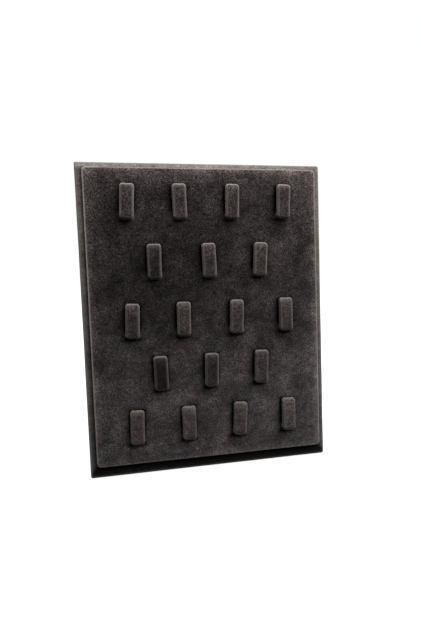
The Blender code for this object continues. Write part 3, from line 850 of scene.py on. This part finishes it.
def board_tone(low, high):
    """The board cover's tone: painted highlight lightest at its top, painted shadow on its lip and
    by the panel, and darker sides and back.
    """
    pad_low, pad_high = extent("pad_cover", BOARD_AXES)

    def tone(point):
        over = point.z - pad_high.z
        beside = max(point.x - pad_high.x, pad_low.x - point.x)
        under = pad_low.z - point.z
        depth = share_at(point.y, low.y, high.y)
        if depth > SIDE_FROM_DEPTH:
            behind = smooth_step((depth - BACK_FROM_DEPTH) / BACK_BLEND)
            return between(SIDE_TONE, BACK_TONE, behind)
        height = share_at(point.z, low.z, high.z)
        # Painted highlight on the top strip and the upper sides
        top = between(*TOP_STRIP_HIGHLIGHTS, share_at(point.x, low.x, high.x))
        lighter = between(1, UPPER_SIDE_HIGHLIGHT, smooth_step(height * 2 - 1))
        lighter += smooth_step(over / TOP_STRIP_REACH) * (top - UPPER_SIDE_HIGHLIGHT)
        # Painted shadow beside the panel
        clear = smooth_step(max(over, beside, 0) / (PANEL_SHADOW_REACH * (2 - height)))
        strip = lighter * between(PANEL_SHADOW_TONE, 1, clear)
        # Painted shadow on the lip under the panel
        lip = LIP_SHADOW_TONE * (PANEL_SHADOW_TONE + smooth_step(under / LIP_REACH))
        return between(strip, lip, smooth_step((under - max(over, beside)) / LIP_BLEND + 0.5))

    return tone


def board_cover(finish):
    """The suede drawn over the board and turned in at the back, with its corners folded."""
    low, high = extent("board_wrap", BOARD_AXES)
    for corner, side in ((low, -1), (high, 1)):
        corner.x += NAP * side
        corner.z += NAP * side

    def relief(x, z, side):
        if side == "front":
            return 0
        return mitre_groove(min(x - low.x, high.x - x), min(z - low.z, high.z - z))

    lines = lattice(low, high, BOARD_ZONES, BOARD_MIDDLES)
    rounds = (BOARD_ROUND, BOARD_ROUND)
    shape = board_shape(low, high)
    bm = rounded_skin(low, high, BOARD_CORNER, rounds, lines, relief, shape, window=BOARD_TURN_IN)
    mark_wear_and_painted_light(bm, board_tone(low, high), sides=BOARD_SIDE_WEAR_AND_HIGHLIGHT)
    piece = new_piece("board_cover", bm, BOARD_AXES, finish, SKIN)
    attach(piece, "display")
    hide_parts("board_wrap")


def back_panel(finish):
    """The thin suede panel that hides the turned-in edges, dimpled round the rivets."""
    low, high = extent("back_liner", BOARD_AXES)
    names = ("hinge_rivet_board_left", "hinge_rivet_board_right", "ribbon_rivet_board")
    rivets = [sum(extent(name, BOARD_AXES), Vector()) / 2 for name in names]

    def relief(x, z, side):
        if side == "front":
            return 0
        dents = sum(bump_at(x - r.x, z - r.z, BACK_DENT_REACH) for r in rivets)
        return BACK_DENT * dents + BACK_SWAY * sway(x, z, BACK_SWAY_SIZE)

    lines = lattice(low, high, PANEL_ZONES, BACK_MIDDLES)
    rounds = (PANEL_ROUND, PANEL_ROUND)
    bm = rounded_skin(low, high, PANEL_CORNER, rounds, lines, relief, Vector.copy, side_steps=1)
    mark_wear_and_painted_light(bm, lambda point: BACK_TONE, sides=PANEL_SIDE_WEAR_AND_HIGHLIGHT)
    piece = new_piece("back_panel", bm, BOARD_AXES, finish)
    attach(piece, "display")
    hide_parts("back_liner")


# Padded panel


def clip_axes(joint):
    """A clip's own axes: X along its hinge, Y into the panel and Z up the tongue."""
    across = Vector(joint["axis"]).normalized()
    inward = BOARD_AXES.col[1].to_3d()
    inward = (inward - across * inward.dot(across)).normalized()
    up = across.cross(inward)
    turn = Matrix((across, inward, up)).transposed().to_4x4()
    return Matrix.Translation(joint["pos_m"]) @ turn


def clip_joints():
    """The joints of the clips, by row and column."""
    found = {}
    for joint in frame["joints"]:
        if joint["child"].startswith("clip_"):
            row, column = joint["child"].split("_")[1:]
            found[int(row), int(column)] = joint
    return found


def clips_on_board():
    """Each clip's axes as seen from the board's, with its height as a share of the top row's."""
    to_board = BOARD_AXES.inverted()
    return [
        (to_board @ clip_axes(joint), joint["pos_m"][2] / CLIP_ROWS_TOP)
        for joint in clip_joints().values()
    ]


def pad_relief(low, high):
    """How far the panel's face sinks over its edges and where each clip holds it down."""
    roots = [axes.translation for axes, _ in clips_on_board()]

    def relief(x, z, side):
        if side == "back":
            return 0
        roll = max(0, 1 - inside_edge(x, z, low, high) / ROLL_WIDTH) ** ROLL_POWER
        dents = sum(bump_at(x - r.x, z - r.z, DIMPLE_REACH) for r in roots)
        drift = sway(x, z, PAD_SWAY_SIZE) * PAD_SWAY
        return PAD_SLACK + ROLL_DEPTH * roll + DIMPLE_DEPTH * dents + drift

    return relief


def in_slit(near):
    """Whether a point, as seen from a clip, lies in the slit that the clip comes through."""
    return abs(near.x) < SLIT_HALF_WIDTH and abs(near.z) < SLIT_HALF_HEIGHT


def pad_tone(low, high):
    """The panel's tone: painted light and shade over its face, and painted shade round the clips
    and in their slits.

    It is darkest left of the middle in its upper half, and lighter low down, with painted
    highlights at its top and right, along its rims and at its left edge.
    """
    clips = []
    # The painted shade under each clip reaches further down on the lower clips
    for axes, height in clips_on_board():
        clips.append((axes.inverted(), CLIP_FOOT - UNDER_DROP * (1 - height)))
    dusk_x = between(low.x, high.x, PAD_DUSK_SHARES[0])
    dusk_z = between(low.z, high.z, PAD_DUSK_SHARES[1])

    def painted_light_of(point):
        # Painted light: lighter low down and to the right, painted shade in the dark patch, painted
        # highlights at the top, right, left and rims
        height = share_at(point.z, low.z, high.z)
        low_down = smooth_step((PAD_LIGHT_BELOW - height) / PAD_LIGHT_BLEND)
        painted_light_and_tone = between(PAD_DARK_TONE, PAD_LIGHT_TONE, low_down)
        painted_light_and_tone *= PAD_ACROSS_TONE + PAD_ACROSS_RISE * share_at(point.x, low.x, high.x)
        painted_light_and_tone *= 1 - PAD_DUSK_TONE * bump_at(point.x - dusk_x, point.z - dusk_z, PAD_DUSK_REACH)
        painted_light_and_tone *= 1 + PAD_TOP_TONE * fade_out(high.z - point.z, PAD_TOP_REACH)
        painted_light_and_tone *= 1 + PAD_SIDE_TONE * fade_out(high.x - point.x, PAD_SIDE_REACH)
        painted_light_and_tone *= 1 + PAD_LEFT_TONE * height * fade_out(point.x - low.x, PAD_LEFT_REACH)
        edge = inside_edge(point.x, point.z, low, high)
        return painted_light_and_tone * (1 + PAD_RIM_TONE * fade_out(edge, PAD_RIM_REACH))

    # Painted shade round each clip, deepest in the crease beside and under it
    def tone(point):
        halo_shade = 0
        crease = 0
        for axes, foot in clips:
            near = axes @ point
            aside = max(abs(near.x) - CLIP_HALF_WIDTH, 0)
            under = max(foot - near.z, 0)
            gap = math.hypot(aside, max(near.z - CLIP_TOP, under))
            halo_shade = max(halo_shade, 1 - (gap + under) / CLIP_HALO_REACH)
            crease = max(crease, 1 - gap / CREASE_REACH)
            # Painted shade in the slit
            if in_slit(near):
                return SLIT_TONE
        shadow = (1 - CLIP_HALO_SHADE * smooth_step(halo_shade)) * (1 - CREASE_TONE * smooth_step(crease))
        return painted_light_of(point) * shadow

    return tone


def panel_cover(finish):
    """The suede of the raised panel, soft over its foam."""
    low, high = extent("pad_cover", BOARD_AXES)
    clips = [axes for axes, _ in clips_on_board()]
    roots = [axes.translation for axes in clips]

    def shape(point):
        layer = Vector((point.x / PAD_WAVE_SIZE, PAD_WAVE_LAYER, point.z / PAD_WAVE_SIZE))
        wave = noise.noise_vector(layer)
        return point + Vector((wave.x, 0, wave.z)) * PAD_WAVE * share_at(point.y, high.y, low.y)

    def held(point):
        edge = inside_edge(point.x, point.z, low, high)
        near = [bump_at(point.x - r.x, point.z - r.z, PAD_HELD_ROOT) for r in roots]
        return max(fade_out(edge - PAD_HELD_RIM, PAD_HELD_BLEND), *near)

    # Rims wear and carry a painted highlight, more high up and at the left edge
    def painted_highlight_share(point):
        height = share_at(point.z, low.z, high.z)
        left = fade_out(point.x - low.x, PAD_LEFT_REACH)
        return between(*PAD_WEAR_AND_HIGHLIGHT, height) * (1 + PAD_LEFT_HIGHLIGHT * left * height)

    lines = lattice(low, high, PAD_ZONES, PAD_MIDDLES)
    rounds = (PAD_ROUND, PAD_BACK_ROUND)
    relief = pad_relief(low, high)
    bm = rounded_skin(low, high, PAD_CORNER, rounds, lines, relief, shape, window=PAD_TURN_IN)
    swell(bm, held, PAD_PRESSURE, PAD_SWELL, PAD_MAGNIFY)
    bm = finer(bm)
    for axes in clips:
        to_clip = axes.inverted()
        for v in bm.verts:
            if in_slit(to_clip @ v.co) and v.co.y < low.y + ROLL_DEPTH:
                v.co.y += SLIT_DEPTH
    mark_wear_and_painted_light(bm, pad_tone(low, high), share=painted_highlight_share, spread_steps=3)
    piece = new_piece("panel_cover", bm, BOARD_AXES, finish, SKIN)
    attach(piece, "display")
    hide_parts("pad_cover")


def panel_foam(finish):
    """The foam under the panel's suede, which follows its face."""
    low, high = extent("pad_foam", BOARD_AXES)
    lines = lattice(low, high, FOAM_ZONES, FOAM_MIDDLES)
    relief = pad_relief(*extent("pad_cover", BOARD_AXES))
    bm = rounded_skin(low, high, FOAM_CORNER, FOAM_ROUNDS, lines, relief, Vector.copy, side_steps=1)
    piece = new_piece("panel_foam", bm, BOARD_AXES, finish)
    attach(piece, "display")
    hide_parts("pad_foam")


# Clips


def clip_relief(low, high, heel_depth, seed):
    """How far a tongue's faces sink: its crown and top, and behind, its seam and raised heel."""
    half_width = (high.x - low.x) / 2
    middle_z = (low.z + high.z) / 2
    half_height = (high.z - low.z) / 2

    def relief(x, z, side):
        u = (x / half_width) ** CLIP_CROWN_POWERS[0]
        w = ((z - middle_z) / half_height) ** CLIP_CROWN_POWERS[1]
        crown = CLIP_CROWN * (1 - (1 - u) * (1 - w))
        crown += CLIP_TOP_ROLL * max(0, 1 - (high.z - z) / CLIP_TOP_ROLL_REACH) ** 2
        if side == "front":
            return crown + CLIP_SWAY * sway(x, z, CLIP_SWAY_SIZE, seed)
        heel = smooth_step((HEEL_HALF_WIDTH - abs(x)) / HEEL_BLENDS[0] + 0.5)
        heel *= smooth_step((HEEL_HALF_HEIGHT - abs(z)) / HEEL_BLENDS[1] + 0.5)
        seam = math.exp(-((x / SEAM_WIDTH * 2) ** 2)) * SEAM_DEPTH * (1 - heel)
        return crown + seam - heel * heel_depth

    return relief


def clip_tone(low, high, row, joint):
    """How light a tongue's nap lies, by its row and its place in it, with painted shade toward its
    foot.
    """
    across = (BOARD_AXES.inverted() @ Vector(joint["pos_m"])).x / (PAD_SPAN / 2)
    lightness = between(*ROW_NAPS[row - 1], smooth_step(across / 2 + 0.5))
    middle_z = (low.z + high.z) / 2
    half_height = (high.z - low.z) / 2

    def tone(point):
        nap = between(*CLIP_NAPS, smooth_step((point.z - middle_z) / half_height))
        # Painted shade toward the foot
        foot = smooth_step((point.z - low.z) / CLIP_FOOT_REACH)
        return lightness * nap * between(CLIP_FOOT_SHADE, 1, foot)

    return tone


def clip_tongue(row, column, joint, finish):
    """A padded suede tongue over its spring, sewn up behind, with the heel that meets the panel."""
    axes = clip_axes(joint)
    low, high = extent(f"clip_sleeve_{row}_{column}", axes)
    heel_back = high.y
    high.y = low.y + CLIP_THICKNESS
    low += Vector((CLIP_SLACK, CLIP_SLACK, CLIP_SLACK))
    high -= Vector((CLIP_SLACK, 0, CLIP_SLACK * 2))
    seed = Vector((row * CLIP_SEEDS[0], column * CLIP_SEEDS[1], 0))

    def shape(point):
        wave = noise.noise_vector(point / CLIP_WAVE_SIZE + seed)
        return point + Vector((wave.x, wave.y * CLIP_WAVE_DEEP, wave.z)) * CLIP_WAVE

    def held(point):
        behind = point.y > high.y - CLIP_ROUND / 2
        heel = abs(point.x) < HEEL_HELD_WIDTH and abs(point.z) < HEEL_HELD_HEIGHT
        return 1 if behind and (heel or abs(point.x) < SEAM_WIDTH) else 0

    lines = lattice(low, high, CLIP_ZONES_ACROSS, CLIP_MIDDLES, CLIP_ZONES_UP)
    rounds = (CLIP_ROUND, CLIP_ROUND)
    relief = clip_relief(low, high, heel_back - high.y, seed)
    bm = rounded_skin(low, high, CLIP_CORNER, rounds, lines, relief, shape, side_steps=2)
    swell(bm, held, CLIP_PRESSURE, CLIP_SWELL, CLIP_MAGNIFY)
    # Rim wear with a painted highlight, stronger on higher clips
    wear_and_highlight = between(*CLIP_WEAR_AND_HIGHLIGHT, joint["pos_m"][2] / CLIP_ROWS_TOP)
    tone = clip_tone(low, high, row, joint)
    mark_wear_and_painted_light(bm, tone, sides=CLIP_SIDE_WEAR_AND_HIGHLIGHT, share=lambda point: wear_and_highlight)
    piece = new_piece(f"clip_tongue_{row}_{column}", bm, axes, finish)
    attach(piece, f"clip_{row}_{column}")
    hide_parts(f"clip_sleeve_{row}_{column}")


# Strut


def strut_taper(low, high):
    """Narrows the strut from its foot to its top."""

    def taper(point):
        share = share_at(point.z, low.z, high.z)
        width = between(STRUT_FOOT_WIDTH, STRUT_TOP_WIDTH, share)
        return Vector((point.x * width / STRUT_FOOT_WIDTH, point.y, point.z))

    return taper


def strut_cover(finish):
    """The suede round the easel strut, turned in on its inner face."""
    low, high = extent("strut_wrap", STRUT_AXES)
    taper = strut_taper(low, high)

    def shape(point):
        return taper(point) + waves(point, STRUT_WAVE_SIZES) * STRUT_WAVE

    def relief(x, z, side):
        if side == "back":
            return 0
        to_side = min(x - low.x, high.x - x)
        to_end = min(z - low.z, high.z - z)
        bare = smooth_step((min(to_side, to_end) - STRUT_TURN_IN) / STRUT_TURN_BLEND)
        return between(mitre_groove(to_side, to_end), STRUT_TURN_STEP, bare)

    lines = lattice(low, high, STRUT_ZONES, STRUT_MIDDLES)
    rounds = (STRUT_ROUND, STRUT_ROUND)
    bm = rounded_skin(low, high, STRUT_CORNER, rounds, lines, relief, shape)
    mark_wear_and_painted_light(bm, lambda point: BACK_TONE, sides=STRUT_SIDE_WEAR_AND_HIGHLIGHT)
    piece = new_piece("strut_cover", bm, STRUT_AXES, finish)
    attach(piece, "strut")
    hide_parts("strut_wrap")


def strut_lining(finish):
    """The thin suede panel on the strut's inner face."""
    low, high = extent("strut_liner", STRUT_AXES)
    taper = strut_taper(*extent("strut_wrap", STRUT_AXES))
    lines = lattice(low, high, PANEL_ZONES, STRUT_MIDDLES)
    rounds = (LINING_ROUND, LINING_ROUND)
    bm = rounded_skin(
        low, high, PANEL_CORNER, rounds, lines, lambda x, z, side: 0, taper, side_steps=1
    )
    mark_wear_and_painted_light(bm, lambda point: BACK_TONE, sides=PANEL_SIDE_WEAR_AND_HIGHLIGHT)
    piece = new_piece("strut_lining", bm, STRUT_AXES, finish)
    widths = [2 * taper(Vector((high.x, 0, z))).x for z in (low.z, high.z)]
    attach(piece, "strut")
    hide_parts("strut_liner")


# Ribbon


def ribbon_route():
    """The ribbon's middle line, from its flap on the board, over to the strut and down its flap."""
    board_low, _ = extent("stay_ribbon", BOARD_AXES)
    _, strut_high = extent("stay_ribbon", STRUT_AXES)
    board_rivet = sum(extent("ribbon_rivet_board", BOARD_AXES), Vector()) / 2
    strut_rivet = sum(extent("ribbon_rivet_strut", STRUT_AXES), Vector()) / 2
    board_y = board_low.y + RIBBON_THICKNESS / 2
    strut_y = strut_high.y - RIBBON_THICKNESS / 2
    board_bend = Vector((0, board_y, board_rivet.z + RIBBON_RIVET_FROM_BEND))
    strut_bend = Vector((0, strut_y, strut_rivet.z + RIBBON_RIVET_FROM_BEND))
    down = Vector((0, 0, -RIBBON_FLAP))
    return (
        BOARD_AXES @ (board_bend + down),
        BOARD_AXES @ board_bend,
        STRUT_AXES @ strut_bend,
        STRUT_AXES @ (strut_bend + down),
    )


def ribbon_bend(before, at, after):
    """Points round a bend of the ribbon."""
    back = (before - at).normalized() * RIBBON_BEND_RADIUS
    on = (after - at).normalized() * RIBBON_BEND_RADIUS
    shares = [k / RIBBON_BEND_STEPS for k in range(RIBBON_BEND_STEPS + 1)]
    return [at + back * (1 - t) ** 2 + on * t**2 for t in shares]


def ribbon_points(route, step):
    """Evenly spaced points along the route, with its two bends rounded and a little sag between."""
    start, first, second, end = route
    line = [start] + ribbon_bend(start, first, second) + ribbon_bend(first, second, end) + [end]
    points = []
    for a, b in zip(line, line[1:]):
        steps = max(1, round((b - a).length / step))
        points += [a.lerp(b, k / steps) for k in range(steps)]
    points.append(end)
    span = (second - first).length
    for p in points:
        share = (p - first).dot(second - first) / span**2
        if 0 < share < 1 and min(share, 1 - share) * span > RIBBON_BEND_RADIUS:
            p.z -= RIBBON_SAG * 4 * share * (1 - share)
    return points


def ribbon_row(bm, middle, up, rib):
    """The ribbon's outline at one place, over its upper face and back along its lower one."""
    row = []
    for face in (1, -1):
        for c in range(RIBBON_COLUMNS + 1):
            share = (c / RIBBON_COLUMNS * 2 - 1) * face
            edge = smooth_step((abs(share) - RIBBON_EDGE_START) / RIBBON_EDGE_BLEND)
            rim = smooth_step((abs(share) - RIBBON_RIM_START) / RIBBON_RIM_BLEND)
            half = RIBBON_THICKNESS / 2 + between(rib, RIBBON_EDGE_HEIGHT, edge)
            half *= 1 - RIBBON_RIM_THINNING * rim
            across = Vector((share * RIBBON_WIDTH / 2, 0, 0))
            row.append(bm.verts.new(middle + across + up * half * face))
    return row


def stay_strap(finish):
    """The woven ribbon that holds the strut, ribbed across and with a thicker edge at each side."""
    route = ribbon_route()
    points = ribbon_points(route, RIBBON_RIB_PITCH / 4)
    bm = bmesh.new()
    rows = []
    travelled = 0
    for k, p in enumerate(points):
        before, after = points[max(k - 1, 0)], points[min(k + 1, len(points) - 1)]
        up = Vector((1, 0, 0)).cross((after - before).normalized())
        travelled += (p - points[max(k - 1, 0)]).length
        rib = math.sin(travelled / RIBBON_RIB_PITCH * math.tau) * RIBBON_RIB_HEIGHT
        rows.append(ribbon_row(bm, p, up, rib))
    join_rows(bm, rows)
    for row in (rows[0], rows[-1]):
        pairs = list(zip(row[: RIBBON_COLUMNS + 1], row[::-1]))
        for (a, b), (c, d) in zip(pairs, pairs[1:]):
            bm.faces.new((a, c, d, b))
    bmesh.ops.recalc_face_normals(bm, faces=bm.faces)
    piece = new_piece("stay_strap", bm, Matrix(), finish)
    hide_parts("stay_ribbon")
    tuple(route[1])
    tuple(route[2])
    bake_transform(piece)


# Stage


def seen_directly(add):
    """One for rays from the camera, off gloss and through glass, which see the pale surround."""
    rays = add("ShaderNodeLightPath").outputs
    direct = figure(add, "MAXIMUM", rays["Is Camera Ray"], rays["Is Glossy Ray"])
    return figure(add, "MAXIMUM", direct, rays["Is Transmission Ray"])


def floor_material():
    """Pale floor that the camera sees nearly white, with the stand's shadow kept."""
    material, add, place = new_material("floor")
    bounce = (FLOOR_BOUNCE, FLOOR_BOUNCE, FLOOR_BOUNCE, 1)
    coat(material, {"Base Color": bounce, "Roughness": 0.9, "Specular IOR Level": 0})
    away = add("ShaderNodeVectorMath", {0: place}, operation="LENGTH").outputs["Value"]
    fade = spread(add, away, *FLOOR_LIFT, *FLOOR_FADE)
    seen = add("ShaderNodeBsdfDiffuse", {"Color": (FLOOR_SEEN, FLOOR_SEEN, FLOOR_SEEN, 1)})
    lift = add("ShaderNodeEmission", {"Color": WHITE, "Strength": fade})
    lit = add("ShaderNodeAddShader", {0: seen.outputs["BSDF"], 1: lift.outputs["Emission"]})
    tree = material.node_tree
    plain = tree.nodes["Principled BSDF"].outputs["BSDF"]
    mixed = add("ShaderNodeMixShader", {0: seen_directly(add), 1: plain, 2: lit.outputs["Shader"]})
    fill(tree, tree.nodes["Material Output"], {"Surface": mixed.outputs["Shader"]})
    return material


def lay_floor():
    """The floor."""
    mesh = bpy.data.meshes.new("floor")
    signs = ((-1, -1), (1, -1), (1, 1), (-1, 1))
    corners = [(x * FLOOR_REACH, y * FLOOR_REACH, 0) for x, y in signs]
    mesh.from_pydata(corners, [], [(0, 1, 2, 3)])
    mesh.materials.append(floor_material())
    floor = bpy.data.objects.new("floor", mesh)
    bpy.context.scene.collection.objects.link(floor)


def hang_lamps():
    """The key light, in front and above, and the one that lights the back."""
    for name, lamp in LAMPS.items():
        light = bpy.data.lights.new(name, "AREA")
        light.shape = "RECTANGLE"
        light.size, light.size_y = lamp["span"]
        light.energy = lamp["power"]
        direction = Vector(lamp["from"]).normalized()
        stand = bpy.data.objects.new(name, light)
        stand.location = LIT_MIDDLE + direction * lamp["distance"]
        stand.rotation_euler = (-direction).to_track_quat("-Z", "Y").to_euler()
        bpy.context.scene.collection.objects.link(stand)


def build_surround():
    """The surround: white where it is seen, and dim where it lights the stand."""
    world = bpy.data.worlds.new("surround")
    bpy.context.scene.world = world
    world.use_nodes = True
    tree = world.node_tree
    add = node_maker(tree)
    level = spread(add, seen_directly(add), AMBIENT, 1)
    fill(tree, tree.nodes["Background"], {"Color": WHITE, "Strength": level})


def place_camera():
    """The camera, as it stood for the photo."""
    lens = bpy.data.cameras.new("camera")
    lens.sensor_width = SENSOR
    lens.lens = FOCAL_PIXELS * SENSOR / max(PHOTO_SIZE)
    lens.clip_start = NEAREST_SEEN
    camera = bpy.data.objects.new("camera", lens)
    camera.location = CAMERA_PLACE
    camera.rotation_euler = (math.pi / 2 - CAMERA_PITCH, 0, -CAMERA_TURN)
    bpy.context.scene.collection.objects.link(camera)
    bpy.context.scene.camera = camera
    bpy.context.scene.view_settings.view_transform = "Standard"


# Scene


def finish_rigid_nodes(finishes):
    """Gives every carried-over node the procedural finish of its slot."""
    for node in frame["nodes"].values():
        for slot in node.material_slots:
            if slot.material.name in finishes:
                slot.material = finishes[slot.material.name]


noise.seed_set(WAVE_SEED)
lay_floor()
hang_lamps()
build_surround()
place_camera()
pad_suede = suede("pad_suede", PAD_COLOURS, sheen=0.2)
clip_suede = suede("clip_suede", CLIP_COLOURS, sheen=0.4, blotch=1.5)
board_suede = suede("board_suede", BOARD_COLOURS, sheen=0.18, blotch=1.25, grain=1.4)
foam = open_foam("foam_cells")
ribbon_satin = satin("ribbon_satin")
finish_rigid_nodes(
    {
        "fibreboard": pressed_fibre("fibreboard_fibres", **FIBREBOARD),
        "greyboard": pressed_fibre("greyboard_fibres", **GREYBOARD),
        "spring_steel": metal("rolled_steel", **ROLLED_STEEL),
        "zinc_steel": metal("zinc_plate", **ZINC_PLATE),
    }
)
board_cover(board_suede)
back_panel(board_suede)
panel_cover(pad_suede)
panel_foam(foam)
for (row, column), joint in clip_joints().items():
    clip_tongue(row, column, joint, clip_suede)
strut_cover(board_suede)
strut_lining(board_suede)
stay_strap(ribbon_satin)
